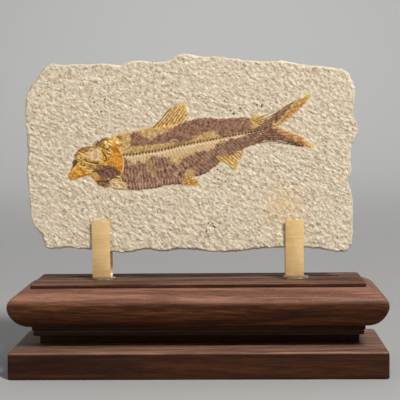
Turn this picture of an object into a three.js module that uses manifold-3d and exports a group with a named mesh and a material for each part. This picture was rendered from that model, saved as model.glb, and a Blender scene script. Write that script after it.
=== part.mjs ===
// A fossil fish in a limestone plate, held upright by two brass spring clips on a
// stepped hardwood stand.
//
// Millimetres, +Z up. The origin is the centre of the stand's underside, X runs along
// the stand and the fossil faces -Y.

import * as THREE from "three";
import { mergeVertices } from "three/addons/utils/BufferGeometryUtils.js";
import Module from "manifold-3d";

const wasm = await Module();
wasm.setup();

// ---------------------------------------------------------------- driving dimensions

const GAP = 0.3; // clearance where one piece is wrapped round another

const STAND = { length: 168, depth: 56, cornerRadius: 1.6 };
const PLINTH = { bottom: 0, top: 12.3, topRadius: 1.4, footChamfer: 0.6 };
const NECK_CORE = { top: 17.9, length: 146, depth: 14 };
const NECK_MOULDING = { top: 22.3, inset: 9.4, step: 0.5, quirk: 1.1, quirkHeight: 0.5 };
const MOULDED_BOARD = {
  top: 39.3,
  noseZ: 32,
  footInset: 8.2,
  shoulderInset: 9.2,
  // How far the edge's curves follow their end directions, and how they slope there.
  footReach: { inset: 5, rise: 0.6 },
  noseReach: { below: 3.5, above: 4.2 },
  shoulderReach: { inset: 4.2, drop: 1.4 },
};
const TOP_BOARD = { top: 41, inset: 9.2, edgeRadius: 0.4 };
const GROOVE = { y: 7.5, width: 2.2, depth: 1, stopBeforeRightEnd: 10 };

const SLAB = {
  thickness: 9,
  // Each bevel is how far the face is drawn in from the rim.
  frontBevel: 1.3,
  frontBevelDepth: 2.1,
  backBevel: 1.8,
  rimPoints: 220,
};
// Knapped chips: a beat between two ripples round the rim.
const CHIPS = { size: 0.35, ripples: [47, 31], shift: 1.3 };
const FISH = { relief: 0.5, root: 0.6 };

const CLIP = {
  centres: { left: -44.2, right: 43.8 },
  width: 8.2,
  strip: 1,
  bendRadius: 2,
  top: 68.4,
  lean: THREE.MathUtils.degToRad(3.2),
  tipRadius: 0.7,
  gripZ: 54,
};
const ADHESIVE = { side: 2.8, front: 0.9, height: 1.2, cornerRadius: 2.2, slope: 1.7 };

const CURVE_STEPS = 8;
const CORNER_STEPS = 4;

// The slab's rim seen from the front, clockwise from the top left corner: x, z.
const SLAB_RIM = [
  [-67, 140], [-60, 139.3], [-50, 139.5], [-41, 139.4], [-35, 139], [-31, 140.5],
  [-26, 140.8], [-15, 140], [-8, 143.2], [-2, 143.4], [3, 142.4], [10, 142.2],
  [18, 140.9], [35, 139.8], [38, 140.5], [42, 139.4], [55, 137.4], [63, 136.8],
  [68, 135], [70.5, 130.5], [71.8, 126.5], [71, 121], [70.7, 115.5], [72.4, 110.5],
  [72.3, 106.5], [70, 101], [69.6, 96], [69.8, 90], [68.3, 86], [69.8, 80],
  [70.7, 75], [70.5, 68], [70.4, 59], [67.8, 53.6], [62, 53.3], [54, 54.5],
  [39, 55.4], [26, 54.5], [15, 53.4], [2, 54], [-9, 54.6], [-16, 53.6],
  [-24, 54.7], [-33, 53.4], [-49, 54.6], [-57, 55.7], [-65, 55.3], [-70, 56.2],
  [-72, 61.5], [-75.8, 67], [-77, 78], [-77.7, 88], [-77.7, 101], [-78, 114],
  [-78.3, 122], [-76, 128.5], [-72, 134],
];

// The outline of the fish as one piece with its tail, clockwise from the snout: x, z.
const FISH_BODY = [
  [-58.4, 89.5], [-56.5, 96], [-54, 100.5], [-48, 102.6], [-41, 105.8], [-31, 108.5],
  [-19.5, 110.7], [-5, 113.6], [10, 114.6], [24, 114.4], [31, 114.2], [40, 119.5],
  [47, 123.8], [51, 123.3], [46, 117.5], [38.5, 111], [46, 106.6], [52.6, 101.3],
  [47, 101.3], [40, 103], [31, 104.4], [26, 102.7], [19, 99.5], [10.5, 94],
  [3, 89.3], [-11.5, 84], [-26, 82], [-38, 83], [-48, 85.5],
];
const DORSAL_FIN = [[-19.5, 109], [-12, 119], [-6, 120.8], [-4, 116.8], [-6, 112]];
const ANAL_FIN = [[9, 97], [20, 99.5], [17.3, 91]];
const PELVIC_FIN = [[-5, 89], [2, 85.5], [-5, 84.6], [-10, 86.5]];

// -------------------------------------------------------------------------- materials

const walnut = (color, roughness) =>
  new THREE.MeshStandardMaterial({ color, roughness, metalness: 0 });

const MATERIALS = {
  limestone: new THREE.MeshStandardMaterial({
    color: 0xd6cbb2,
    roughness: 0.9,
    metalness: 0,
  }),
  darkWood: walnut(0x41261a, 0.45),
  mouldedWood: walnut(0x5a3525, 0.4),
  brass: new THREE.MeshStandardMaterial({
    color: 0xcfae6b,
    roughness: 0.35,
    metalness: 1,
  }),
  adhesive: new THREE.MeshStandardMaterial({
    color: 0xd9d4cc,
    roughness: 0.2,
    metalness: 0,
  }),
};

// --------------------------------------------------------------------- mesh utilities

// A closed mesh from rings of equal point counts, stacked in order along one axis.
// The first and last rings are capped with the triangles that capTriangles lists.
function closedLoft(rings, capTriangles) {
  const count = rings[0].length;
  const last = (rings.length - 1) * count;
  const index = [];
  for (let ring = 0; ring + 1 < rings.length; ring++) {
    for (let i = 0; i < count; i++) {
      const a = ring * count + i;
      const b = ring * count + ((i + 1) % count);
      index.push(a, b, b + count);
      index.push(a, b + count, a + count);
    }
  }
  for (const [a, b, c] of capTriangles) {
    index.push(c, b, a);
    index.push(last + a, last + b, last + c);
  }
  const geometry = new THREE.BufferGeometry();
  geometry.setFromPoints(rings.flat());
  geometry.setIndex(index);
  return geometry;
}

function solidOf(geometry) {
  const bare = geometry.clone();
  bare.deleteAttribute("normal");
  bare.deleteAttribute("uv");
  const merged = mergeVertices(bare, 1e-4);
  return new wasm.Manifold(
    new wasm.Mesh({
      numProp: 3,
      vertProperties: merged.attributes.position.array,
      triVerts: new Uint32Array(merged.index.array),
    }),
  );
}

function geometryOf(solid) {
  const { vertProperties, triVerts } = solid.getMesh();
  const geometry = new THREE.BufferGeometry();
  geometry.setAttribute("position", new THREE.BufferAttribute(vertProperties, 3));
  geometry.setIndex(new THREE.BufferAttribute(triVerts, 1));
  return geometry;
}

function namedMesh(name, geometry, material) {
  const shaded = geometry.index ? geometry.toNonIndexed() : geometry;
  shaded.computeVertexNormals();
  const mesh = new THREE.Mesh(shaded, material);
  mesh.name = name;
  return mesh;
}

function boxAt(width, depth, height, x, y, bottom) {
  return new THREE.BoxGeometry(width, depth, height).translate(x, y, bottom + height / 2);
}

// An outline in X and Z, extruded from y = front to y = back.
function extrudedAlongY(points, front, back) {
  const shape = new THREE.Shape(points.map(([x, z]) => new THREE.Vector2(x, z)));
  const geometry = new THREE.ExtrudeGeometry(shape, {
    depth: back - front,
    bevelEnabled: false,
  });
  return geometry.rotateX(Math.PI / 2).translate(0, back, 0);
}

// ------------------------------------------------------------------------- the stand

// A rounded rectangle at one height, anticlockwise from above.
function roundedRectangle(halfX, halfY, radius, z) {
  const corners = [
    [halfX - radius, halfY - radius, 0],
    [radius - halfX, halfY - radius, 1],
    [radius - halfX, radius - halfY, 2],
    [halfX - radius, radius - halfY, 3],
  ];
  return corners.flatMap(([x, y, quarter]) =>
    Array.from({ length: CORNER_STEPS + 1 }, (_, step) => {
      const angle = (quarter + step / CORNER_STEPS) * (Math.PI / 2);
      return new THREE.Vector3(
        x + radius * Math.cos(angle),
        y + radius * Math.sin(angle),
        z,
      );
    }),
  );
}

// A board whose edge follows a profile of points (inset, z), from the bottom up.
function profiledBoard(length, depth, radius, profile) {
  const rings = profile.map(({ x: inset, y: z }) =>
    roundedRectangle(length / 2 - inset, depth / 2 - inset, radius, z),
  );
  const fan = Array.from({ length: rings[0].length - 2 }, (_, i) => [0, i + 1, i + 2]);
  return closedLoft(rings, fan);
}

function standBoard(profile) {
  return profiledBoard(STAND.length, STAND.depth, STAND.cornerRadius, profile);
}

const point = (inset, z) => new THREE.Vector2(inset, z);

// The quarter round from the vertical face up on to the top, as (inset, z) points.
function roundedTopEdge(inset, top, radius) {
  return Array.from({ length: CORNER_STEPS + 1 }, (_, step) => {
    const angle = (step / CORNER_STEPS) * (Math.PI / 2);
    return point(
      inset + radius * (1 - Math.cos(angle)),
      top - radius * (1 - Math.sin(angle)),
    );
  });
}

function plinth() {
  const { bottom, top, topRadius, footChamfer } = PLINTH;
  return standBoard([
    point(footChamfer, bottom),
    point(0, bottom + footChamfer),
    ...roundedTopEdge(0, top, topRadius),
  ]);
}

function neckCore() {
  const { top, length, depth } = NECK_CORE;
  return profiledBoard(length, depth, STAND.cornerRadius, [
    point(0, PLINTH.top),
    point(0, top),
  ]);
}

// Two flat fillets with a narrow quirk between them, the lower one set back a little.
function neckMoulding() {
  const { top, inset, step, quirk, quirkHeight } = NECK_MOULDING;
  const middle = (NECK_CORE.top + top) / 2;
  const lower = inset + step;
  return standBoard([
    point(lower + step / 2, NECK_CORE.top),
    point(lower, NECK_CORE.top + step / 2),
    point(lower, middle - quirkHeight / 2),
    point(inset + quirk, middle - quirkHeight / 2),
    point(inset + quirk, middle + quirkHeight / 2),
    point(inset, middle + quirkHeight / 2),
    point(inset, top),
  ]);
}

// A long sloping shoulder above a round nose that curves back under to the neck.
function mouldedBoard() {
  const { top, noseZ, footInset, shoulderInset } = MOULDED_BOARD;
  const { footReach, noseReach, shoulderReach } = MOULDED_BOARD;
  const bottom = NECK_MOULDING.top;
  const under = new THREE.CubicBezierCurve(
    point(footInset, bottom),
    point(footInset - footReach.inset, bottom + footReach.rise),
    point(0, noseZ - noseReach.below),
    point(0, noseZ),
  );
  const shoulder = new THREE.CubicBezierCurve(
    point(0, noseZ),
    point(0, noseZ + noseReach.above),
    point(shoulderInset - shoulderReach.inset, top - shoulderReach.drop),
    point(shoulderInset, top),
  );
  return standBoard([
    ...under.getPoints(CURVE_STEPS),
    ...shoulder.getPoints(CURVE_STEPS).slice(1),
  ]);
}

// The thin top tier, with a stopped groove along the back of its upper face.
function topBoard() {
  const { top, inset, edgeRadius } = TOP_BOARD;
  const board = standBoard([
    point(inset, MOULDED_BOARD.top),
    ...roundedTopEdge(inset, top, edgeRadius),
  ]);
  const leftEnd = -STAND.length / 2;
  const rightEnd = STAND.length / 2 - inset - GROOVE.stopBeforeRightEnd;
  const cut = boxAt(
    rightEnd - leftEnd,
    GROOVE.width,
    2 * GROOVE.depth,
    (leftEnd + rightEnd) / 2,
    GROOVE.y,
    top - GROOVE.depth,
  );
  return geometryOf(solidOf(board).subtract(solidOf(cut)));
}

// -------------------------------------------------------------------------- the clips

// The U of brass strip in the Y-Z plane, its legs leaning apart towards their tips.
function clipSection() {
  const { strip, bendRadius, lean, gripZ, top } = CLIP;
  const innerRadius = bendRadius - strip;
  const bendZ = TOP_BOARD.top + bendRadius;
  const gripY = SLAB.thickness / 2 + GAP;
  const innerZ = bendZ - innerRadius * Math.sin(lean);
  const bendY =
    gripY + (innerZ - gripZ) * Math.tan(lean) - innerRadius * Math.cos(lean);
  const legLength = (top - bendZ) / Math.cos(lean);
  // One end of the front leg's straight stretch, on its outer or its inner face.
  const legPoint = (radius, along) => [
    -bendY - radius * Math.cos(lean) - along * Math.sin(lean),
    bendZ - radius * Math.sin(lean) + along * Math.cos(lean),
  ];
  const section = new THREE.Shape();
  section.moveTo(...legPoint(bendRadius, legLength));
  section.lineTo(...legPoint(bendRadius, 0));
  section.absarc(-bendY, bendZ, bendRadius, Math.PI + lean, 1.5 * Math.PI);
  section.absarc(bendY, bendZ, bendRadius, 1.5 * Math.PI, 2 * Math.PI - lean);
  const mirrored = ([y, z]) => [-y, z];
  section.lineTo(...mirrored(legPoint(bendRadius, legLength)));
  section.lineTo(...mirrored(legPoint(innerRadius, legLength)));
  section.lineTo(...mirrored(legPoint(innerRadius, 0)));
  section.absarc(bendY, bendZ, innerRadius, 2 * Math.PI - lean, 1.5 * Math.PI, true);
  section.absarc(-bendY, bendZ, innerRadius, 1.5 * Math.PI, Math.PI + lean, true);
  section.lineTo(...legPoint(innerRadius, legLength));
  return section;
}

// The clip's front view, a strip with its two top corners rounded off.
function clipFace(centre) {
  const { width, tipRadius, top } = CLIP;
  const half = width / 2;
  const bottom = TOP_BOARD.top - 1;
  const shape = new THREE.Shape();
  shape.moveTo(centre - half, bottom);
  shape.lineTo(centre + half, bottom);
  shape.absarc(centre + half - tipRadius, top - tipRadius, tipRadius, 0, Math.PI / 2);
  shape.absarc(centre - half + tipRadius, top - tipRadius, tipRadius, Math.PI / 2, Math.PI);
  const outline = shape.getPoints(CORNER_STEPS).map(({ x, y }) => [x, y]);
  return extrudedAlongY(outline, -STAND.depth / 2, STAND.depth / 2);
}

function clip(centre) {
  const strip = new THREE.ExtrudeGeometry(clipSection(), {
    depth: CLIP.width,
    bevelEnabled: false,
    curveSegments: CURVE_STEPS,
  });
  // The section's own axes become Y and Z, and the extrusion runs along X.
  strip.rotateX(Math.PI / 2).rotateZ(Math.PI / 2);
  strip.translate(centre - CLIP.width / 2, 0, 0);
  return geometryOf(solidOf(strip).intersect(solidOf(clipFace(centre))));
}

// A low collar of clear adhesive squeezed out round the clip's foot.
function adhesiveCollar(centre) {
  const { side, front, height, cornerRadius, slope } = ADHESIVE;
  const footHalf = SLAB.thickness / 2 + GAP + CLIP.strip;
  const length = CLIP.width + 2 * side;
  const depth = 2 * (footHalf + front);
  const dome = Array.from({ length: CURVE_STEPS }, (_, step) => {
    const angle = (step / CURVE_STEPS) * (Math.PI / 2);
    return point(
      slope * (1 - Math.cos(angle)),
      TOP_BOARD.top + height * Math.sin(angle),
    );
  });
  const collar = profiledBoard(length, depth, cornerRadius, dome);
  collar.translate(centre, 0, 0);
  const hole = boxAt(
    CLIP.width + 2 * GAP,
    2 * (footHalf + GAP / 2),
    2 * height + 2 * GAP,
    centre,
    0,
    TOP_BOARD.top - GAP,
  );
  return geometryOf(solidOf(collar).subtract(solidOf(hole)));
}

// ----------------------------------------------------------------------- the fossil

// The rim as evenly spaced points, with small knapped chips taken out of it.
function slabRim() {
  const curve = new THREE.CatmullRomCurve3(
    SLAB_RIM.map(([x, z]) => new THREE.Vector3(x, 0, z)),
    true,
    "centripetal",
  );
  return Array.from({ length: SLAB.rimPoints }, (_, i) => {
    const turn = i / SLAB.rimPoints;
    const at = curve.getPointAt(turn);
    const along = curve.getTangentAt(turn);
    const outward = new THREE.Vector3(-along.z, 0, along.x);
    const phase = 2 * Math.PI * turn;
    const [fine, coarse] = CHIPS.ripples;
    const beat = Math.sin(fine * phase + CHIPS.shift) * Math.sin(coarse * phase);
    return { at: at.addScaledVector(outward, CHIPS.size * (beat - 1)), outward };
  });
}

// The rim drawn in by an inset at one depth of the plate.
function slabRing(rim, inset, y) {
  return rim.map(({ at, outward }) => {
    const drawn = at.clone().addScaledVector(outward, -inset);
    drawn.y = y;
    return drawn;
  });
}

function slabPlate() {
  const rim = slabRim();
  const half = SLAB.thickness / 2;
  const { frontBevel, frontBevelDepth, backBevel } = SLAB;
  const rings = [
    slabRing(rim, frontBevel, -half),
    slabRing(rim, frontBevel / 3, -half + frontBevelDepth / 3),
    slabRing(rim, 0, -half + frontBevelDepth),
    slabRing(rim, 0, half - backBevel),
    slabRing(rim, backBevel, half),
  ];
  const contour = rings[0].map(({ x, z }) => new THREE.Vector2(-x, z));
  return closedLoft(rings, THREE.ShapeUtils.triangulateShape(contour, []));
}

function fossilSlab() {
  const face = -SLAB.thickness / 2;
  const smooth = new THREE.CatmullRomCurve3(
    FISH_BODY.map(([x, z]) => new THREE.Vector3(x, 0, z)),
    true,
    "centripetal",
  );
  const divisions = FISH_BODY.length * 3;
  const body = smooth.getPoints(divisions).slice(1).map(({ x, z }) => [x, z]);
  const outlines = [body, DORSAL_FIN, ANAL_FIN, PELVIC_FIN];
  let solid = solidOf(slabPlate());
  for (const outline of outlines) {
    const relief = extrudedAlongY(outline, face - FISH.relief, face + FISH.root);
    solid = solid.add(solidOf(relief));
  }
  return geometryOf(solid);
}

// ------------------------------------------------------------------------ the object

const part = new THREE.Group();
part.add(
  namedMesh("plinth", plinth(), MATERIALS.darkWood),
  namedMesh("neck_core", neckCore(), MATERIALS.darkWood),
  namedMesh("neck_moulding", neckMoulding(), MATERIALS.darkWood),
  namedMesh("moulded_board", mouldedBoard(), MATERIALS.mouldedWood),
  namedMesh("top_board", topBoard(), MATERIALS.mouldedWood),
  namedMesh("fossil_slab", fossilSlab(), MATERIALS.limestone),
);
for (const [side, centre] of Object.entries(CLIP.centres)) {
  part.add(
    namedMesh(`clip_${side}`, clip(centre), MATERIALS.brass),
    namedMesh(`adhesive_${side}`, adhesiveCollar(centre), MATERIALS.adhesive),
  );
}

export default part;
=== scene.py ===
"""The looks of the fossil fish slab, its brass clips and its hardwood stand.

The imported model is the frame: metres, +Z up, the fossil facing -Y. Lengths that describe
a shape are written in millimetres and turned into metres where a mesh is made.
"""

import math

import bmesh
import bpy
import numpy as np
from mathutils import Matrix, Vector
from mathutils.geometry import delaunay_2d_cdt


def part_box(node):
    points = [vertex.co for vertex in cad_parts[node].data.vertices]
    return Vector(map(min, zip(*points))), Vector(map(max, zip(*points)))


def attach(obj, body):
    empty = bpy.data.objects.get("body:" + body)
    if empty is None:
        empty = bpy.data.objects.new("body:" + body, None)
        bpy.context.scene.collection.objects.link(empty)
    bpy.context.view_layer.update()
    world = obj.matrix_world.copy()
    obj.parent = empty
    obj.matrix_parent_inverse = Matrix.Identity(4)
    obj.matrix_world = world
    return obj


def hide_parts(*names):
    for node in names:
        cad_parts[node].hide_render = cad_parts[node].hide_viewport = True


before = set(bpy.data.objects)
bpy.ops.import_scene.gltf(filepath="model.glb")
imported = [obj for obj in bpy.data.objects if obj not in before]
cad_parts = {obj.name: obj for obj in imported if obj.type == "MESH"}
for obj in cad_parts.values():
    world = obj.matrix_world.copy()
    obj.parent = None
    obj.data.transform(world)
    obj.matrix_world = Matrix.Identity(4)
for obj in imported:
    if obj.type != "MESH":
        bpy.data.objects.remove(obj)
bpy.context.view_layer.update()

MM = 0.001
TURN = 2 * math.pi

# ------------------------------------------------------------------ camera and lights

# Millimetres, degrees and, for the lens, millimetres of focal length.
CAMERA = {"place": (17.9, -528, 114), "yaw": 1.84, "pitch": 3.99, "roll": -0.58, "lens": 104.1}
# Each lamp's name, place (m), target (m), size (m), power (W), spread (degrees) and colour.
LAMPS = (
    ("key_light", (0.66, -1.02, 1.14), (0, 0, 0.07), 0.32, 27.6, 180, (1.0, 0.99, 0.97)),
    ("fill_light", (-0.9, -1.1, 0.4), (0, 0, 0.07), 0.9, 3.2, 180, (0.97, 0.98, 1.0)),
    ("backdrop_light", (0, 1.3, 2.4), (0, 2.1, 0.3), 1.6, 14, 90, (0.98, 0.99, 1.0)),
)
# Light from the surroundings, in front of the object and behind it.
WORLD_FRONT = 0.18
WORLD_BEHIND = 0.55
WORLD_COLOUR = (0.96, 0.97, 1.0)
FLOOR_COLOUR = (0.42, 0.415, 0.405)
# The floor's reach, and where it starts to sweep up into the wall, in millimetres.
FLOOR_REACH = 6000
SWEEP_START = 1300
SWEEP_RADIUS = 1000
WALL_TOP = 2600

# ----------------------------------------------------------------------- the plate

SLAB = {"thickness": 9, "front_inset": 1.0, "back_inset": 1.3}
# The top right corner is bevelled more widely than the rest of the rim.
WIDE_BEVEL = {"place": (68.5, 131), "reach": 7, "extra": 1.1}
# The face's nominal width and the heights of its foot and head, from which its grid is
# divided. The grid is finest between the heights of the fish band.
FACE = {"width": 147, "foot": 54, "head": 139}
FISH_BAND = (81, 122)
GRID_STEP = 0.385
COARSE_STEP = 0.56
RIM_STEP = 0.4
BACK_STEP = 1.5
# The rim from the face to the back: how far each row is drawn in, as a share of the inset
# there, and how deep it lies, as a share of the thickness.
RIM_PROFILE = ((0.66, 0.05), (0.32, 0.13), (0.08, 0.24), (0.0, 0.38), (0.05, 0.52),
               (0.0, 0.66), (0.2, 0.82), (0.55, 0.93), (1.0, 1.0))
FRONT_BEVEL_DEPTH = 0.3

# The plate's rim seen from the front, clockwise from the top left corner: x, z.
SLAB_RIM = (
    (-67, 140), (-60, 139.3), (-50, 139.5), (-41, 139.4), (-35, 139), (-31, 140.5),
    (-26, 140.8), (-15, 140), (-8, 143.2), (-2, 143.4), (3, 142.4), (10, 142.2),
    (18, 140.9), (35, 139.8), (38, 140.5), (42, 139.4), (55, 137.4), (63, 136.8),
    (68, 135), (70.5, 130.5), (71.8, 126.5), (71, 121), (70.7, 115.5), (72.4, 110.5),
    (72.3, 106.5), (70, 101), (69.6, 96), (69.8, 90), (68.3, 86), (69.8, 80),
    (70.7, 75), (70.5, 68), (70.4, 59), (67.8, 53.6), (62, 53.3), (54, 54.5),
    (39, 55.4), (26, 54.5), (15, 53.4), (2, 54), (-9, 54.6), (-16, 53.6),
    (-24, 54.7), (-33, 53.4), (-49, 54.6), (-57, 55.7), (-65, 55.3), (-70, 56.2),
    (-72, 61.5), (-75.8, 67), (-77, 78), (-77.7, 88), (-77.7, 101), (-78, 114),
    (-78.3, 122), (-76, 128.5), (-72, 134),
)
# The rim points that are corners: top left, top right, bottom right, bottom left.
SLAB_CORNERS = (0, 18, 33, 47)

# ------------------------------------------------------------------------ the fish

# Outlines drawn on the plate's face: x, z.
REGIONS = {
    "body": (
        (-59.1, 89), (-56.9, 93.4), (-55.8, 97.4), (-53.6, 100.6), (-48.6, 102.3),
        (-44.5, 104), (-41, 105.8), (-36, 107.4), (-31, 108.5), (-25.5, 109.8),
        (-19.5, 110.7), (-10, 112.4), (-3, 113.9), (4, 114.7), (12, 114.4),
        (20, 114.6), (27, 114.4), (31, 114.2), (35, 116.2), (40, 119.5),
        (46.5, 122.8), (50.6, 125), (51.3, 124.1), (47.7, 119.5), (43.4, 116.1),
        (39.5, 113), (37, 110.9), (40, 108.9), (46.3, 106.4), (50.5, 103.2),
        (52.8, 100.7), (47.6, 101.1), (42, 102.7), (36, 104.2), (31, 104.3),
        (27, 102.7), (22.6, 101.2), (19, 99.4), (14, 97), (10.5, 94.4),
        (6.5, 91.4), (3, 89.3), (-1.3, 87.9), (-6, 85.8), (-12, 84.8),
        (-20, 83), (-27, 82.3), (-36, 82.4), (-40.5, 83.6), (-45.5, 84.7),
        (-48.5, 88.8), (-53.5, 87.9), (-57, 87),
    ),
    "dorsal_fin": (
        (-19.8, 110.3), (-14, 116.3), (-12, 119), (-7, 120.6), (-5.3, 121.2),
        (-4, 117.5), (-5.5, 113.5), (-9.5, 111), (-14.5, 109.3),
    ),
    "anal_fin": ((9, 97), (13, 93.8), (17, 90.8), (18, 93), (19.3, 96), (21, 100)),
    "pelvic_fin": ((-6, 87.8), (-1.5, 87.4), (1.4, 85.3), (-0.5, 84.2), (-5, 84.1),
                   (-10, 84.6), (-9.5, 86.2)),
    "back_brown": (
        (-30, 105), (-29, 108), (-27, 108.5), (-25.5, 107.5), (-23, 105.5),
        (-20, 105.5), (-15, 108), (-10.5, 110), (-7, 112.5), (-3, 113.7),
        (4, 114.7), (12, 114.4), (24, 114.8), (24.8, 112), (24.5, 109),
        (19.5, 107.5), (9.5, 106.5), (8.5, 109), (5, 108.7), (1.5, 107.2),
        (-2, 106.7), (-3, 104.6), (-8.5, 103), (-11, 104), (-13.5, 103),
        (-20, 103), (-28.5, 102),
    ),
    "belly_brown": (
        (-33.5, 98.5), (-31, 96), (-28.5, 94), (-27, 95.5), (-24.5, 94.5),
        (-22.5, 96.5), (-20.5, 97.6), (-16.5, 97.6), (-13, 96.5), (-11, 94.5),
        (-9.5, 92.8), (-8, 94.5), (-5.5, 96.5), (-2, 98), (1.5, 99.5), (7, 100.5),
        (9.5, 103), (14.5, 105), (19.5, 106), (25, 108), (29, 105), (26, 102.4),
        (22, 100.9), (18.5, 99.2), (16, 98), (11.5, 97.5), (9, 97), (11, 94.6),
        (7.5, 91.4), (5, 89.8), (1.5, 88.3), (-1.5, 87.9), (-2, 91.5),
        (-5.5, 91.7), (-5.7, 87.5), (-6, 85.3), (-11, 84.8), (-14.5, 84.1),
        (-20.5, 82.8), (-27.5, 82.2), (-32, 83), (-35, 86.5), (-34, 91.5),
    ),
    "tail_brown": (
        (24.5, 109.5), (27.5, 110.7), (30.5, 113.2), (35.5, 115.6), (39, 118),
        (42, 120), (41, 117), (37.5, 113.8), (34, 111.5), (35.5, 109.5),
        (39.5, 107), (44.5, 104.5), (48, 102.6), (48.5, 101), (43.5, 102),
        (37.5, 103.6), (33.5, 104), (28, 103), (24.5, 106),
    ),
    "yellow_patch": ((24.5, 115), (30.5, 115), (29.7, 112.3), (27, 110.3), (24.6, 110)),
    "upper_lobe_orange": (
        (37.5, 112.4), (40.5, 116), (45, 120.6), (50.6, 124.4), (49.4, 121), (44, 115.8),
        (39.2, 112.2),
    ),
    "lower_lobe_orange": (
        (38, 108), (44, 105.5), (49, 102.3), (51.8, 101), (46, 103), (40, 106),
    ),
    "jaw_orange": (
        (-59, 88.9), (-56.8, 91.5), (-55, 93.3), (-52.5, 92.6), (-50.5, 91.2),
        (-48.3, 89.6), (-53.5, 88), (-56.7, 87),
    ),
    "gill_orange": (
        (-39, 102.6), (-36, 101.7), (-34, 98.7), (-33.4, 95), (-33.9, 90.5),
        (-35, 89.5), (-37.5, 92.7), (-42, 94.6), (-41, 96.5), (-39.6, 98),
        (-38.6, 100),
    ),
    "pelvic_orange": ((-5.4, 87.3), (-2, 87.4), (1, 85.7), (-1, 84.7), (-5.3, 84.6)),
    "belly_tan": ((-24, 97.6), (-21.5, 97.4), (-20.4, 94), (-18.8, 91), (-19.6, 88.2),
                  (-21.6, 90.5), (-22.8, 93.5)),
    "throat_orange": ((-47, 89), (-45, 89.2), (-43.8, 87.6), (-45.7, 86.8)),
    "cheek_olive": (
        (-50, 93.6), (-47.5, 94.2), (-44.5, 94.2), (-41.8, 95), (-42.5, 93),
        (-45, 92), (-48, 91), (-50.5, 91.6),
    ),
    "orbit_pink": (
        (-49.6, 98.6), (-48.6, 100.2), (-47.4, 101.6), (-45.6, 101.3), (-44.8, 99.2),
        (-43.4, 97.4), (-44, 95.7), (-46.6, 96.2), (-49.2, 96.6), (-50.8, 97.6),
    ),
    "gill_dark": (
        (-47.3, 91.3), (-42, 93.5), (-39.5, 93.6), (-37.5, 92.5), (-34.7, 89.5),
        (-37.5, 88), (-41.5, 87), (-44, 88), (-46, 90),
    ),
    "skull_dark": (
        (-55.8, 97.6), (-53.6, 100.4), (-51.5, 101.5), (-48.5, 102.4), (-44.8, 104),
        (-41.2, 106), (-40.3, 105.2), (-44, 102.9), (-47.5, 101.2), (-51, 99.5),
        (-53.8, 98.7),
    ),
    "lip_dark": ((-56.4, 92.6), (-56.6, 95.7), (-54.8, 96.3), (-53.8, 94.8), (-55, 93.3)),
    "throat_dark": ((-45.8, 86.3), (-43, 87), (-39.6, 86), (-39.4, 84), (-42.5, 83.8),
                    (-45.2, 84.7)),
    "throat_cream": ((-39.6, 86.6), (-37, 87.6), (-33.6, 86.6), (-32, 83.6),
                     (-35, 82.3), (-39, 83.4)),
}

# The backbone from behind the gill cover to the root of the tail: x, z.
BACKBONE = (
    (-34, 98.4), (-29.5, 98.6), (-26, 99), (-20, 100), (-16.5, 100.6), (-12, 101.6),
    (-7.5, 102.5), (-1, 103.6), (5.5, 104.7), (10, 105.5), (14.5, 106.4), (19.5, 107.2),
    (25.5, 108.2), (31, 109.6),
)
VERTEBRA_PITCH = 1.45
VERTEBRAE_WITH_RIBS = range(-23, 19)
VERTEBRAE_WITH_ARCHES = range(-23, 8)
LONGEST_RIB = 19
SPINE_SWEEP = 0.8  # how far back the spines over the backbone lean, for each millimetre up

# --------------------------------------------------------------------- small helpers


def srgb(red, green, blue):
    """A colour given as it looks on a screen, 0 to 255, as the linear colour nodes use."""
    def linear(value):
        value /= 255
        return value / 12.92 if value <= 0.04045 else ((value + 0.055) / 1.055) ** 2.4
    return (linear(red), linear(green), linear(blue), 1)


def smoothstep(low, high, value):
    """0 below low, 1 above high, and a smooth rise between them."""
    t = np.clip((value - low) / (high - low), 0, 1)
    return t * t * (3 - 2 * t)


LATTICE = 257


def lattice_noise(x, z, cell_x, cell_z, seed):
    """Smooth noise from -1 to 1 whose blobs are about one cell wide."""
    table = np.random.default_rng(seed).uniform(-1, 1, (LATTICE, LATTICE))
    u, v = x / cell_x, z / cell_z
    i, j = np.floor(u).astype(int), np.floor(v).astype(int)
    fu, fv = smoothstep(0, 1, u - i), smoothstep(0, 1, v - j)
    i0, i1 = i % LATTICE, (i + 1) % LATTICE
    j0, j1 = j % LATTICE, (j + 1) % LATTICE
    low = table[i0, j0] * (1 - fu) + table[i1, j0] * fu
    high = table[i0, j1] * (1 - fu) + table[i1, j1] * fu
    return low * (1 - fv) + high * fv


def closed_curve(points, step):
    """A smooth closed curve through the points, in equal steps of about the length given."""
    points = np.array(points, float)
    rows = []
    for i in range(len(points)):
        p0, p1, p2, p3 = (points[(i + k) % len(points)] for k in (-1, 0, 1, 2))
        for t in np.linspace(0, 1, 8, endpoint=False):
            rows.append(0.5 * (2 * p1 + (p2 - p0) * t + (2 * p0 - 5 * p1 + 4 * p2 - p3) * t**2
                               + (3 * p1 - p0 - 3 * p2 + p3) * t**3))
    dense = np.array(rows + rows[:1])
    lengths = np.concatenate([[0], np.cumsum(np.linalg.norm(np.diff(dense, axis=0), axis=1))])
    count = max(12, round(lengths[-1] / step))
    at = np.linspace(0, lengths[-1], count, endpoint=False)
    return np.column_stack([np.interp(at, lengths, dense[:, k]) for k in (0, 1)])


def signed_distance(x, z, outline):
    """Distance to a closed outline, in its own unit, positive inside."""
    start, end = outline, np.roll(outline, -1, axis=0)
    nearest = np.full(x.shape, 1e9)
    inside = np.zeros(x.shape, bool)
    for (ax, az), (bx, bz) in zip(start, end):
        dx, dz = bx - ax, bz - az
        t = np.clip(((x - ax) * dx + (z - az) * dz) / (dx * dx + dz * dz + 1e-12), 0, 1)
        nearest = np.minimum(nearest, np.hypot(x - ax - t * dx, z - az - t * dz))
        crosses = (az > z) != (bz > z)
        if dz:
            inside ^= crosses & (x < ax + (z - az) * dx / dz)
    return np.where(inside, nearest, -nearest)


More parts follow.
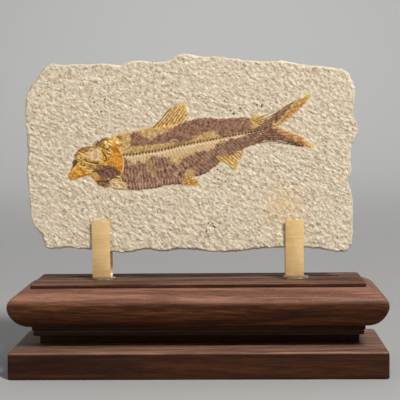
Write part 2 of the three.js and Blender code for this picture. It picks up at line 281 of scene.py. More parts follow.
def new_object(name, vertices, faces):
    """A smooth-shaded mesh object from points in millimetres."""
    mesh = bpy.data.meshes.new(name)
    mesh.from_pydata(np.asarray(vertices) * MM, [], faces)
    mesh.validate()
    mesh.update()
    mesh.shade_smooth()
    obj = bpy.data.objects.new(name, mesh)
    bpy.context.scene.collection.objects.link(obj)
    return obj


def install(obj, material, slot, *replaced):
    """Gives a piece its material and ties it to the frame."""
    obj.data.materials.clear()
    obj.data.materials.append(material)
    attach(obj, "root")
    if replaced:
        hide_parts(*replaced)


# ------------------------------------------------------------------- material graphs


class Graph:
    """A material's node tree, built by short calls that each return a socket."""

    def __init__(self, name):
        self.material = bpy.data.materials.new(name)
        self.material.use_nodes = True
        self.tree = self.material.node_tree
        self.shader = next(n for n in self.tree.nodes if n.type == "BSDF_PRINCIPLED")
        self.place = self.add("TexCoord").outputs["Object"]

    def add(self, kind, **settings):
        node = self.tree.nodes.new("ShaderNode" + kind)
        for key, value in settings.items():
            setattr(node, key, value)
        return node

    def plug(self, socket, value):
        """Links a socket, or sets it to a number or to a colour as srgb takes it."""
        if isinstance(value, bpy.types.NodeSocket):
            self.tree.links.new(value, socket)
        elif isinstance(value, tuple) and len(value) == 3:
            socket.default_value = srgb(*value)
        else:
            socket.default_value = value

    def field(self, name):
        """A value stored at the mesh's points."""
        return self.add("Attribute", attribute_name=name).outputs["Fac"]

    def stretched(self, size, lean=0):
        """Coordinates in which a feature is this long (mm), turned clockwise in front view."""
        node = self.add("Mapping", vector_type="TEXTURE")
        self.plug(node.inputs["Vector"], self.place)
        node.inputs["Rotation"].default_value = (0, lean, 0)
        node.inputs["Scale"].default_value = [length * MM for length in size]
        return node.outputs["Vector"]

    def noise(self, scale, detail=2.0, roughness=0.5, distortion=0.0, vector=None):
        """Noise with this many features to the metre, or to each unit of the vector."""
        node = self.add("TexNoise")
        self.plug(node.inputs["Vector"], vector or self.place)
        self.plug(node.inputs["Scale"], scale)
        self.plug(node.inputs["Detail"], detail)
        self.plug(node.inputs["Roughness"], roughness)
        self.plug(node.inputs["Distortion"], distortion)
        return node.outputs["Fac"]

    def voronoi(self, scale):
        node = self.add("TexVoronoi")
        self.plug(node.inputs["Vector"], self.place)
        self.plug(node.inputs["Scale"], scale)
        return node

    def math(self, operation, first, second=0.0):
        node = self.add("Math", operation=operation)
        self.plug(node.inputs[0], first)
        self.plug(node.inputs[1], second)
        return node.outputs[0]

    def total(self, first, second):
        """The sum of two values."""
        return self.math("ADD", first, second)

    def product(self, first, *others):
        """All the values multiplied together."""
        for other in others:
            first = self.math("MULTIPLY", first, other)
        return first

    def between(self, value, low, high, to_low=0.0, to_high=1.0):
        """A smooth change from to_low to to_high as the value goes from low to high."""
        node = self.add("MapRange", interpolation_type="SMOOTHSTEP")
        self.plug(node.inputs["Value"], value)
        self.plug(node.inputs["From Min"], low)
        self.plug(node.inputs["From Max"], high)
        self.plug(node.inputs["To Min"], to_low)
        self.plug(node.inputs["To Max"], to_high)
        return node.outputs["Result"]

    def mix(self, share, first, second):
        node = self.add("Mix", data_type="RGBA")
        first_colour, second_colour = (n for n in node.inputs if n.type == "RGBA")
        self.plug(node.inputs["Factor"], share)
        self.plug(first_colour, first)
        self.plug(second_colour, second)
        return next(n for n in node.outputs if n.type == "RGBA")

    def ramp(self, value, *stops):
        """A run of colours, each stop a position from 0 to 1 and a colour."""
        node = self.add("ValToRGB")
        self.plug(node.inputs["Fac"], value)
        elements = node.color_ramp.elements
        while len(elements) < len(stops):
            elements.new(0.5)
        for element, (position, colour) in zip(elements, stops):
            element.position = position
            element.color = srgb(*colour)
        return node.outputs["Color"]

    def bump(self, height, depth, strength=1.0):
        node = self.add("Bump")
        self.plug(node.inputs["Height"], height)
        node.inputs["Distance"].default_value = depth
        node.inputs["Strength"].default_value = strength
        return node.outputs["Normal"]

    def finish(self, colour, roughness, normal=None, **fixed):
        """Feeds the shader; the fixed values are named as its sockets are."""
        self.plug(self.shader.inputs["Base Color"], colour)
        self.plug(self.shader.inputs["Roughness"], roughness)
        if normal:
            self.plug(self.shader.inputs["Normal"], normal)
        for name, value in fixed.items():
            self.shader.inputs[name.replace("_", " ")].default_value = value
        return self.material


# --------------------------------------------------------------- the plate's surface

CURVES = {name: closed_curve(points, 0.8) for name, points in REGIONS.items()}
FINS = ("dorsal_fin", "anal_fin", "pelvic_fin")
FILMS = ("back_brown", "belly_brown", "tail_brown")
STROKE_LEAN = math.radians(34)  # how far the chisel marks run down to the right
CHISEL_DEPTH = 0.5
HEAD_LEAN = math.radians(32)  # the same for the creases of the head
# Regions of the head that stand out or lie deeper: by how much, and over what distance.
RAISED_BONES = (("gill_orange", 0.3, 0.5), ("jaw_orange", 0.24, 0.6), ("skull_dark", 0.12, 0.3))
SUNKEN_BONES = (("orbit_pink", 0.1, 1.5), ("gill_dark", 0.2, 0.6), ("throat_dark", 0.12, 0.5))
# Round patches, each x, z and radius: yellow tints on the fins, rusty ones on the tail,
# clusters of dark specks and a stain in the stone.
GILT_SPOTS = ((-6.5, 119.6, 2.2), (50.5, 124, 3), (52, 102, 2.4), (18, 92.5, 2.6), (12, 96, 2))
RUST_SPOTS = ((46.5, 104.9, 1.4), (38, 108, 1.2))
SPECK_CLUSTERS = ((16.5, 118, 4), (5, 64, 4), (10.5, 89, 5), (29, 121, 3.5), (-44, 123, 6))
STAIN = (38, 75, 12)


def backbone_height(x):
    points = np.array(BACKBONE)
    return np.interp(x, points[:, 0], points[:, 1])


def rib_sweep(x):
    """How far back a rib leans for each millimetre down: little behind the head, then more."""
    return 0.1 + 0.75 * smoothstep(-22, 8, x)


def rib_count(x, z):
    """Which rib or spine a point lies on, counted along the backbone in vertebrae."""
    drop = backbone_height(x) - z
    sweep = np.where(drop > 0, rib_sweep(x) * drop, -SPINE_SWEEP * drop)
    return (x - sweep) / VERTEBRA_PITCH


def spots(x, z, places):
    """1 at the centre of each round patch, fading out at its radius."""
    return np.max([np.exp(-((x - a) ** 2 + (z - b) ** 2) / r**2) for a, b, r in places], axis=0)


def fish_fields(x, z):
    """Every region's signed distance and the fish's other fields, at these points."""
    fields = {name: signed_distance(x, z, curve) for name, curve in CURVES.items()}
    fields["fins"] = np.max([fields[name] for name in FINS], axis=0)
    fields["fish"] = np.maximum(fields["body"], fields["fins"])
    fields["ribs"] = rib_count(x, z)
    fields["spine"] = z - backbone_height(x)
    fields["spine_shows"] = smoothstep(-36, -33, x) * (1 - smoothstep(24, 34, x))
    fields["head"] = 1 - smoothstep(-36, -32, x)
    fields["specks"] = spots(x, z, SPECK_CLUSTERS)
    fields["stain"] = spots(x, z, (STAIN,))
    fields["gilt"] = spots(x, z, GILT_SPOTS)
    fields["rust"] = spots(x, z, RUST_SPOTS)
    return fields


def leaned(x, z, lean):
    """Distances lengthwise and crosswise to a grain that leans down to the right."""
    return (x * math.cos(lean) - z * math.sin(lean), x * math.sin(lean) + z * math.cos(lean))


def chisel_marks(x, z):
    """Short ridges and pits that run down to the right, from about -1 to 1."""
    bend = 0.5 * lattice_noise(x, z, 2.3, 2.3, 11)
    lengthwise, crosswise = (part + bend for part in leaned(x, z, STROKE_LEAN))
    strokes = lattice_noise(lengthwise, crosswise, 1.9, 0.75, 12)
    ridges = 1 - 2 * np.abs(lattice_noise(lengthwise, crosswise, 2.9, 1.3, 13)) ** 0.8
    pits = lattice_noise(x, z, 0.85, 0.75, 14)
    return 0.68 * strokes + 0.27 * ridges + 0.33 * pits


def head_relief(x, z, fields):
    """The crushed bones of the head, in millimetres over the body's surface."""
    dome = 0.35 * np.exp(-(((x + 45) / 9) ** 2 + ((z - 95) / 7) ** 2))
    relief = dome + 0.3 * lattice_noise(*leaned(x, z, HEAD_LEAN), 2.6, 1.1, 23) * fields["head"]
    for name, height, slope in RAISED_BONES:
        relief = relief + height * smoothstep(-0.1, slope, fields[name])
    for name, depth, slope in SUNKEN_BONES:
        relief = relief - depth * smoothstep(0, slope, fields[name])
    return relief


def front_relief(x, z, fields):
    """How far the plate's face stands out, in millimetres, with the fish in it."""
    inside = smoothstep(-0.15, 0.45, fields["fish"])
    near = smoothstep(-2.2, -0.2, fields["fish"]) * (1 - inside)
    slow = 0.16 * lattice_noise(x, z, 17, 13, 21) + 0.1 * lattice_noise(x, z, 6, 5, 22)
    marks = chisel_marks(x, z) * (CHISEL_DEPTH * (1 - 0.8 * inside - 0.2 * near))
    body = 0.3 * smoothstep(-0.1, 1.2, fields["body"]) + 0.12 * smoothstep(0, 6, fields["body"])
    fins = 0.11 * smoothstep(-0.1, 0.4, fields["fins"])
    ragged = 0.7 * lattice_noise(x, z, 1.1, 1.1, 24)
    film = 0.1 * np.max([smoothstep(-0.3, 0.3, fields[n] + ragged) for n in FILMS], axis=0)
    on_ribs = 0.05 * np.cos(TURN * fields["ribs"]) * fields["spine_shows"]
    on_ribs *= smoothstep(0.3, 1.5, fields["body"])
    scales = 0.07 * lattice_noise(x, z, 0.9, 0.9, 25)
    fish = body + head_relief(x, z, fields) + film + on_ribs + scales
    return slow + marks + inside * fish + fins - 0.12 * near


# Columns of a rim row: its place (x, z), the direction out of the plate there, the bevel's
# width and the distance along the rim.
PLACE, OUTWARD, BEVEL, RUN = slice(0, 2), slice(2, 4), slice(4, 5), 5


def rim_curve():
    """The plate's rim as rim rows, and the positions of its corners among them."""
    rim = closed_curve(SLAB_RIM, RIM_STEP)
    ahead = np.roll(rim, -3, axis=0) - np.roll(rim, 3, axis=0)
    outward = np.column_stack([-ahead[:, 1], ahead[:, 0]])
    outward /= np.linalg.norm(outward, axis=1)[:, None]
    corners = [int(np.argmin(np.hypot(*(rim - SLAB_RIM[i]).T))) for i in SLAB_CORNERS]
    run = np.arange(len(rim), dtype=float) * RIM_STEP
    chips = lattice_noise(run, run * 0, 4.5, 1, 31)
    small = lattice_noise(run, run * 0, 1.3, 1, 32)
    corner = np.exp(-np.sum((rim - WIDE_BEVEL["place"]) ** 2, axis=1) / WIDE_BEVEL["reach"] ** 2)
    bevel = SLAB["front_inset"] + 0.4 * chips + 0.2 * small + WIDE_BEVEL["extra"] * corner
    rim = rim - outward * (0.2 * small + 0.15 * chips)[:, None]
    return np.column_stack([rim, outward, bevel, run]), corners


def rim_between(rim, start, end, stations):
    """Rim rows from one corner to the next, at stations from 0 to 1."""
    at = start + stations * ((end - start) % len(rim))
    low = np.floor(at).astype(int)
    part = (at - low)[:, None]
    return rim[low % len(rim)] * (1 - part) + rim[(low + 1) % len(rim)] * part


def grid_heights():
    """Where the face's grid rows lie, from 0 at the foot to 1 at the head."""
    foot, head = FACE["foot"], FACE["head"]
    low, high = ((level - foot) / (head - foot) for level in FISH_BAND)
    return np.concatenate([
        np.linspace(0, low, round((FISH_BAND[0] - foot) / COARSE_STEP), endpoint=False),
        np.linspace(low, high, round((FISH_BAND[1] - FISH_BAND[0]) / GRID_STEP), endpoint=False),
        np.linspace(high, 1, round((head - FISH_BAND[1]) / COARSE_STEP)),
    ])


def fill_between(sides, across, up):
    """Grid points (x, z) that blend between the four sides, each drawn in by its bevel."""
    top, right, bottom, left = (s[:, PLACE] - s[:, OUTWARD] * s[:, BEVEL] for s in sides)
    s, h = across[None, :, None], up[:, None, None]
    return ((1 - h) * bottom[None] + h * top[None] + (1 - s) * left[:, None] + s * right[:, None]
            - (1 - s) * (1 - h) * bottom[0] - s * (1 - h) * bottom[-1]
            - (1 - s) * h * top[0] - s * h * top[-1])


def rim_ring(rows, front_y, step):
    """One ring of rough points round the plate, at that step of the rim's profile."""
    share, depth = RIM_PROFILE[step]
    run = rows[:, RUN]
    rough = (0.7 * lattice_noise(run, run * 0 + depth * 9, 2.6, 2.1, 33)
             + 0.3 * lattice_noise(run, run * 0 + depth * 9, 0.9, 1.0, 34))
    if depth < FRONT_BEVEL_DEPTH:
        draw = rows[:, BEVEL].ravel() * (share + 0.12 * rough)
    else:
        draw = share * SLAB["back_inset"] + 0.25 * (1 + rough)
    spot = rows[:, PLACE] - rows[:, OUTWARD] * draw[:, None]
    y = front_y * (1 - depth) + SLAB["thickness"] / 2 * depth
    if share < 1:
        y = y + 0.15 * lattice_noise(run, run * 0 + step, 2.0, 1.0, 35)
    return np.column_stack([spot[:, 0], y, spot[:, 1]])


def back_face(loop):
    """Points inside the back's outline, and triangles over the outline and then those."""
    low, high = loop.min(axis=0), loop.max(axis=0)
    grid = np.meshgrid(*(np.arange(a, b, BACK_STEP) for a, b in zip(low, high)))
    x, z = (part.ravel() for part in grid)
    keep = signed_distance(x, z, loop[::3]) > BACK_STEP * 0.7
    points = np.concatenate([loop, np.column_stack([x[keep], z[keep]])])
    count = len(loop)
    edges = [(i, (i + 1) % count) for i in range(count)]
    placed, _, triangles, *_ = delaunay_2d_cdt([Vector(p) for p in points], edges, [], 1, 1e-6)
    x, z = np.array([tuple(p) for p in placed[count:]]).T
    fade = np.minimum(1, signed_distance(x, z, loop[::6]) / 4)
    y = SLAB["thickness"] / 2 - np.abs(0.25 * lattice_noise(x, z, 9, 7, 36)) * fade
    return np.column_stack([x, y, z]), triangles


def build_plate():
    """The plate as one closed mesh: a fine front, a knapped rim and a coarser back."""
    rim, (top_left, top_right, bottom_right, bottom_left) = rim_curve()
    across = np.linspace(0, 1, round(FACE["width"] / GRID_STEP))
    up = grid_heights()
    top = rim_between(rim, top_left, top_right, across)
    right = rim_between(rim, top_right, bottom_right, 1 - up)
    bottom = rim_between(rim, bottom_right, bottom_left, 1 - across)
    left = rim_between(rim, bottom_left, top_left, up)
    grid = fill_between((top, right, bottom, left), across, up)
    rows, columns = grid.shape[:2]
    parts = [surface_points(grid[..., 0].ravel(), grid[..., 1].ravel())]
    index = np.arange(rows * columns).reshape(rows, columns)
    faces = np.stack([index[:-1, :-1], index[:-1, 1:], index[1:, 1:], index[1:, :-1]],
                     axis=-1).reshape(-1, 4).tolist()

    # The face's edge and the rim rows beside it, both clockwise from the top left corner.
    edge = np.concatenate([index[-1, :], index[-2::-1, -1], index[0, -2::-1], index[1:-1, 0]])
    beside = np.concatenate([top, right[::-1][1:], bottom[::-1][1:], left[1:-1]])
    count = len(edge)
    following = np.roll(np.arange(count), -1)
    previous = edge
    for step in range(len(RIM_PROFILE)):
        parts.append(rim_ring(beside, parts[0][edge, 1], step))
        ring = rows * columns + step * count + np.arange(count)
        faces += np.column_stack([previous, previous[following], ring[following],
                                  ring]).tolist()
        previous = ring

    inner, triangles = back_face(parts[-1][:, [0, 2]])
    parts.append(inner)
    faces += [[int(ring[0]) + i for i in triangle] for triangle in triangles]

    points = np.concatenate(parts)
    plate = new_object("limestone_plate", points, faces)
    paint(plate, points[:, 0], points[:, 2])
    broken = [0.0] + [1.0] * len(RIM_PROFILE) + [0.3]
    write_field(plate, "broken", np.repeat(broken, [len(part) for part in parts]))
    write_field(plate, "front", (points[:, 1] < 0).astype(float))
    return plate


def write_field(obj, name, values):
    """Stores one value for each of a mesh's points."""
    attribute = obj.data.attributes.new(name, "FLOAT", "POINT")
    attribute.data.foreach_set("value", np.asarray(values, np.float32))


def paint(obj, x, z):
    """Stores the fish's fields at a mesh's points."""
    for name, values in fish_fields(x, z).items():
        write_field(obj, name, values)


# ------------------------------------------------------------------ bones and rays


def surface_points(x, z):
    """Points on the plate's front face, in millimetres."""
    y = -SLAB["thickness"] / 2 - front_relief(x, z, fish_fields(x, z))
    return np.column_stack([x, y, z])


OUT_OF_FACE = np.array([0, -1, 0])
STRAND_SIDES = 6
STRAND_HEIGHT = 0.75  # how far a strand stands out, as a share of its radius


def strand_mesh(name, strands):
    """Raised strands on the plate's face: each is its centre line (x, z) and its radii."""
    sides = STRAND_SIDES
    line = np.concatenate([points for points, _ in strands])
    centres = surface_points(line[:, 0], line[:, 1])
    angles = np.arange(sides) * TURN / sides
    vertices, faces = [], []
    first = row = 0
    for points, radii in strands:
        count = len(points)
        ahead = np.gradient(points, axis=0)
        ahead /= np.linalg.norm(ahead, axis=1)[:, None] + 1e-9
        here = centres[row:row + count]
        for k in range(count):
            side = np.array([-ahead[k, 1], 0, ahead[k, 0]])
            for angle in angles:
                vertices.append(here[k] + side * radii[k] * math.cos(angle)
                                + OUT_OF_FACE * radii[k] * STRAND_HEIGHT * math.sin(angle))
        for k in range(count - 1):
            for i in range(sides):
                j = (i + 1) % sides
                a, b = first + k * sides + i, first + k * sides + j
                faces.append((a, a + sides, b + sides, b))
        faces.append(tuple(range(first, first + sides)))
        last = first + (count - 1) * sides
        faces.append(tuple(range(last + sides - 1, last - 1, -1)))
        first += count * sides
        row += count
    obj = new_object(name, vertices, faces)
    points = np.array(vertices)
    paint(obj, points[:, 0], points[:, 2])
    write_field(obj, "front", np.ones(len(points)))
    return obj


def tapered(points, thick, thin):
    """A strand along these points whose radius changes evenly."""
    return points, thick + (thin - thick) * np.linspace(0, 1, len(points))


def along(polyline, count):
    """Evenly spaced points on an open polyline."""
    polyline = np.array(polyline, float)
    lengths = np.concatenate([[0], np.cumsum(np.linalg.norm(np.diff(polyline, axis=0), axis=1))])
    at = np.linspace(0, lengths[-1], count)
    return np.column_stack([np.interp(at, lengths, polyline[:, k]) for k in (0, 1)])


def smooth_line(points, count):
    """A smooth open line through a few points."""
    points = np.array(points, float)
    t = np.arange(len(points))
    fine = np.linspace(0, len(points) - 1, count)
    rows = []
    for k in (0, 1):
        slopes = np.gradient(points[:, k])
        i = np.minimum(fine.astype(int), len(points) - 2)
        u = fine - t[i]
        rows.append((2 * u**3 - 3 * u**2 + 1) * points[i, k] + (u**3 - 2 * u**2 + u) * slopes[i]
                    + (3 * u**2 - 2 * u**3) * points[i + 1, k] + (u**3 - u**2) * slopes[i + 1])
    return np.column_stack(rows)


def rib_line(root_x, reach, rising):
    """A rib that hangs from the backbone, or a spine that rises from it."""
    lengths = np.linspace(0.5, reach, round(reach / 0.5))
    if rising:
        x = root_x + SPINE_SWEEP * lengths
        return np.column_stack([x, backbone_height(x) + lengths])
    x = np.full(len(lengths), float(root_x))
    for _ in range(6):  # the sweep depends on where the rib has got to
        x = root_x + rib_sweep(x) * lengths
    return np.column_stack([x, backbone_height(x) - lengths])


def kept_inside(line, outline, margin):
    """The line as far as it stays inside an outline."""
    inside = signed_distance(line[:, 0], line[:, 1], outline) > margin
    stop = len(line) if inside.all() else int(np.argmin(inside))
    return line[:stop]


def rib_strands():
    """A rib and a spine for each vertebra, as far as they stay inside the body."""
    strands = []
    for vertebra in VERTEBRAE_WITH_RIBS:
        for rising, thick in ((False, 0.15), (True, 0.07)):
            line = rib_line(vertebra * VERTEBRA_PITCH, LONGEST_RIB, rising)
            line = kept_inside(line, CURVES["body"], 0.7)
            if len(line) > 3:
                strands.append(tapered(line, thick, 0.05))
    return strands


# The rays of the fins and the tail: root line, tip line, how many, radius at the root.
FINS_OF_RAYS = (
    (((-19.3, 110.5), (-7, 112.6)), ((-11.6, 118.9), (-5.8, 120.6), (-4.4, 116.6)), 8, 0.19),
    (((9.6, 97), (20.2, 99.8)), ((16.4, 91.4), (17.9, 93.2), (20.7, 98.4)), 8, 0.18),
    (((-6.2, 87.2), (-6, 84.8)), ((1, 85.7), (-1, 84.6)), 3, 0.14),
    (((25, 112.9), (28, 111.4), (30, 109.8)),
     ((50.4, 123.6), (47.4, 119.4), (43, 116.0), (38, 111.4)), 6, 0.15),
    (((30, 108.2), (28, 106), (25, 104)),
     ((39, 109.4), (43, 107.5), (49, 104), (51.8, 101.4), (47, 101.6)), 7, 0.15),
)


def ray_strands():
    """Rays that fan out from points along each root line to points along its tip line."""
    strands = []
    for roots, tips, count, radius in FINS_OF_RAYS:
        for root, tip in zip(along(roots, count), along(tips, count)):
            strands.append(tapered(along([root, tip], 24), radius, radius / 2))
    return strands


def backbone_strand():
    """The backbone as one beaded rod, waisted at the middle of each vertebra."""
    per_bead = 8
    length = BACKBONE[-1][0] - BACKBONE[0][0]
    beads = round(length / VERTEBRA_PITCH)
    x = np.linspace(BACKBONE[0][0], BACKBONE[-1][0], beads * per_bead + 1)
    size = np.interp(x, (-34, -10, 30), (0.55, 0.72, 0.42))
    waist = 1 + 0.3 * np.cos(TURN * x / VERTEBRA_PITCH)
    return [(np.column_stack([x, backbone_height(x)]), size * waist)]


# A thin bone that lies arched over the backbone.
LOOSE_BONE = ((-17, 102.4), (-13.5, 103.4), (-10.8, 104.9), (-8.8, 104.6), (-7.6, 103.6))


def arch_strands():
    """The short pale teeth under the backbone, and the pale line that they become."""
    strands = []
    for vertebra in VERTEBRAE_WITH_ARCHES:
        x = vertebra * VERTEBRA_PITCH + 0.5
        z = backbone_height(x)
        strands.append(tapered(along([(x - 0.5, z + 0.1), (x + 1.0, z - 2.3)], 8), 0.34, 0.12))
    x = np.linspace(-34, 30, 90)
    drop = np.interp(x, (-34, 10, 30), (1.1, 0.8, 0.5))
    strands.append((np.column_stack([x, backbone_height(x) - drop]), np.full(len(x), 0.17)))
    strands.append(tapered(smooth_line(LOOSE_BONE, 20), 0.16, 0.12))
    return strands


# Strokes of bone on the head and along edges, each a line with its radius: first the pale
# ones, then the dark ones.
PALE_HEAD_BONES = (
    (((-45.4, 100.6), (-43.9, 98.9), (-43.6, 97), (-45, 96)), 0.28),
    (((-49.4, 99.6), (-48.2, 101), (-46.6, 101.4)), 0.3),
    (((-53.8, 99.7), (-52, 98.4), (-50.2, 97.6)), 0.42),
    (((-54.7, 97), (-52.3, 96.3), (-49.9, 94.7), (-46, 93.8)), 0.36),
    (((-36, 101.7), (-34, 98.7), (-33.4, 95), (-33.9, 91), (-34.9, 89.4)), 0.2),
    (((-57.3, 90.2), (-55.4, 93), (-53.6, 94.8)), 0.3),
    (((-42.2, 103.3), (-40.4, 103.4), (-38.6, 102.6)), 0.4),
    (((-39.2, 86.4), (-36.8, 85.4), (-34.6, 85.6), (-32.6, 84)), 0.36),
    (((-39, 84), (-36.6, 83.2), (-34, 83.3), (-31.8, 82.8)), 0.32),
    (((-57.6, 87.6), (-54.4, 87.3), (-51, 88.4), (-48.2, 89.6)), 0.3),
    (((-52.4, 92.6), (-49.6, 91.2), (-47, 91.4)), 0.3),
)
DARK_HEAD_BONES = (
    (((-55.8, 97.8), (-54.2, 99.8), (-52, 101.3), (-49.8, 101.9)), 0.3),
    (((-45.6, 103), (-43.6, 104.6), (-41, 106.2)), 0.34),
    (((-53.3, 97.4), (-51.4, 96), (-49.8, 95.4), (-47.4, 94.8), (-44.9, 94.6)), 0.34),
    (((-46.2, 90.8), (-42.6, 91.4), (-39, 92.6)), 0.28),
    (((-45.4, 86.8), (-41.6, 86.2), (-38, 88), (-34.8, 87.6)), 0.34),
    (((-43.2, 100.8), (-42.2, 98.8), (-41.2, 97), (-41, 95.6)), 0.36),
    (((-42.6, 101.6), (-40.7, 100.9), (-39.4, 99.6)), 0.34),
    (((-37.6, 102.2), (-36.4, 101), (-35.2, 99)), 0.22),
    (((-19.8, 110.3), (-15.8, 114.4), (-12.4, 118.6), (-9.4, 120)), 0.28),
    (((-10.6, 85.6), (-7.6, 84.9), (-4.8, 84.9)), 0.22),
    (((-1, 88.2), (3, 89.6), (5.6, 91)), 0.2),
    (((31, 114), (36, 116.5), (40.5, 119.4), (45, 122.2)), 0.26),
    (((28, 102.9), (33.5, 104), (39.5, 103), (46, 101.6)), 0.26),
)


def stroke_strands(strokes):
    """Strands that swell in the middle."""
    strands = []
    for points, radius in strokes:
        line = smooth_line(points, 6 * len(points))
        swell = np.sin(np.linspace(0.35, math.pi - 0.35, len(line)))
        strands.append((line, radius * (0.45 + 0.55 * swell)))
    return strands


def scute_strands():
    """The keel of small upright scutes along the belly's lower edge."""
    strands = []
    belly = CURVES["belly_brown"]
    for x in np.arange(-30, -3, 1.3):
        column = np.column_stack([np.full(200, x), np.linspace(80, 96, 200)])
        inside = signed_distance(column[:, 0], column[:, 1], belly) > 0.25
        if inside.any():
            low = column[int(np.argmax(inside)), 1]
            strands.append(tapered(along([(x, low + 0.3), (x - 0.2, low + 3.1)], 8), 0.22, 0.08))
    return strands


# ------------------------------------------------------------------ stand and clips

EDGE_STEPS = 26
STAND_CORNER = 1.6
SIDE_STEP = 2.5
# The sides are divided as if they were this long, so that all rings have as many points.
STRAIGHTS = (150, 50)
# The moulded board: its nose's height as a share of its own, and how far its edge is drawn
# in at the bottom and at the top.
BOARD = {"nose": 0.57, "under_inset": 8.2, "shoulder_inset": 9.2}
PLINTH_EDGE = 1.4
BOARD_WOBBLE = 0.05  # how far a board's sides are out of true


def bezier(start, first, second, end):
    """Points along a cubic curve with these two controls."""
    t = np.linspace(0, 1, EDGE_STEPS)[:, None]
    start, first, second, end = (np.array(p, float) for p in (start, first, second, end))
    return ((1 - t) ** 3 * start + 3 * (1 - t) ** 2 * t * first + 3 * (1 - t) * t**2 * second
            + t**3 * end)


def ring_points(half_x, half_y):
    """A rounded rectangle, anticlockwise from above, with its straight sides divided."""
    spots = []
    turns = 6
    for quarter, (sx, sy) in enumerate(((1, 1), (-1, 1), (-1, -1), (1, -1))):
        for k in range(turns + 1):
            angle = (quarter + k / turns) * math.pi / 2
            spots.append((sx * (half_x - STAND_CORNER) + STAND_CORNER * math.cos(angle),
                          sy * (half_y - STAND_CORNER) + STAND_CORNER * math.sin(angle)))
        along_x = quarter % 2 == 0
        length = 2 * ((half_x if along_x else half_y) - STAND_CORNER)
        pieces = round(STRAIGHTS[quarter % 2] / SIDE_STEP)
        ax, ay = spots[-1]
        for k in range(1, pieces):
            shift = length * k / pieces
            spots.append((ax - sx * shift, ay) if along_x else (ax, ay - sy * shift))
    return np.array(spots)


def moulded_piece(name, node, profile):
    """A board of the CAD node's size whose edge follows the profile (inset, height)."""
    low, high = (np.array(c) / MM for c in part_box(node))
    half = (high - low)[:2] / 2
    rows = []
    for inset, height in profile:
        ring = ring_points(*(half - inset))
        rows.append(np.column_stack([ring, np.full(len(ring), low[2] + height)]))
    count = len(rows[0])
    faces = [(k * count + i, k * count + (i + 1) % count, (k + 1) * count + (i + 1) % count,
              (k + 1) * count + i) for k in range(len(rows) - 1) for i in range(count)]
    faces.append(tuple(range(count - 1, -1, -1)))
    faces.append(tuple(range((len(rows) - 1) * count, len(rows) * count)))
    points = np.concatenate(rows)
    inward = -points[:, :2] / np.abs(points[:, :2]).max(axis=0)
    wave = lattice_noise(points[:, 0] + points[:, 1], points[:, 2] * 2 + points[:, 1], 14, 5, 51)
    points[:, :2] += inward * BOARD_WOBBLE * (1 + wave)[:, None]
    obj = new_object(name, points, faces)
    obj.data.set_sharp_from_angle(angle=math.radians(40))
    return obj


def board_profile(height):
    """The moulded board's edge: it curves out under the nose and slopes up to the tier."""
    nose = height * BOARD["nose"]
    under = bezier((BOARD["under_inset"], 0), (3.2, 0.6), (0, nose - 3.5), (0, nose))
    shoulder = bezier((0, nose), (0, nose + 4.2), (5, height - 1.4),
                      (BOARD["shoulder_inset"], height))
    return np.concatenate([under, shoulder[1:]])


def plinth_profile(height):
    """The plinth's edge: eased at the foot, upright, and rounded at the top."""
    turn = np.linspace(0, math.pi / 2, 9)
    top = np.column_stack([PLINTH_EDGE * (1 - np.cos(turn)),
                           height - PLINTH_EDGE * (1 - np.sin(turn))])
    foot = np.array([(0.6, 0), (0.15, 0.15), (0, 0.6)])
    side = np.column_stack([np.zeros(4), np.linspace(2, height - PLINTH_EDGE - 1, 4)])
    return np.concatenate([foot, side, top])


def softened_copy(name, node, width):
    """The CAD node's shape with its sharp edges eased."""
    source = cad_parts[node]
    mesh = source.data.copy()
    mesh.name = name
    edit = bmesh.new()
    edit.from_mesh(mesh)
    bmesh.ops.remove_doubles(edit, verts=edit.verts, dist=1e-6)
    bmesh.ops.dissolve_limit(edit, angle_limit=math.radians(1), verts=edit.verts,
                             edges=edit.edges)
    edit.to_mesh(mesh)
    edit.free()
    obj = bpy.data.objects.new(name, mesh)
    bpy.context.scene.collection.objects.link(obj)
    bevel = obj.modifiers.new("eased_edges", "BEVEL")
    bevel.width = width * MM
    bevel.segments = 3
    bevel.limit_method = "ANGLE"
    bevel.angle_limit = math.radians(35)
    bevel.harden_normals = True
    mesh.shade_smooth()
    return obj


def adhesive_blob(name, node, left, right):
    """A low uneven bead round a clip's foot, wider on one side than on the other."""
    low, high = (np.array(c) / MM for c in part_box(node))
    centre, rise = (low + high) / 2, high[2] - low[2]
    rows, spokes = 10, 48
    vertices = [(centre[0], centre[1], low[2] + rise * 0.9)]
    foot_x, foot_y = 4.1, 5.2
    for k in range(1, rows + 1):
        share = k / rows
        for i in range(spokes):
            angle = TURN * i / spokes
            c, s = math.cos(angle), math.sin(angle)
            spread = right if c > 0 else left
            wobble = 1 + 0.1 * math.sin(3 * angle + centre[0]) + 0.06 * math.sin(7 * angle)
            x = (foot_x + spread * wobble) * np.sign(c) * abs(c) ** 0.7
            y = (foot_y + 0.3 * wobble) * np.sign(s) * abs(s) ** 0.7
            height = rise * 0.9 * math.sqrt(max(0.0, 1 - share ** 6))
            vertices.append((centre[0] + x * share, centre[1] + y * share, low[2] + height))
    faces = [(0, 1 + i, 1 + (i + 1) % spokes) for i in range(spokes)]
    for k in range(rows - 1):
        for i in range(spokes):
            a, b = 1 + k * spokes + i, 1 + k * spokes + (i + 1) % spokes
            faces.append((a, a + spokes, b + spokes, b))
    faces.append(tuple(range(rows * spokes, (rows - 1) * spokes, -1)))
    return new_object(name, vertices, faces)


# ----------------------------------------------------------------- stage and camera


def aim(obj, target):
    """Turns a lamp to face a point."""
    direction = Vector(target) - obj.location
    obj.rotation_euler = direction.to_track_quat("-Z", "Y").to_euler()


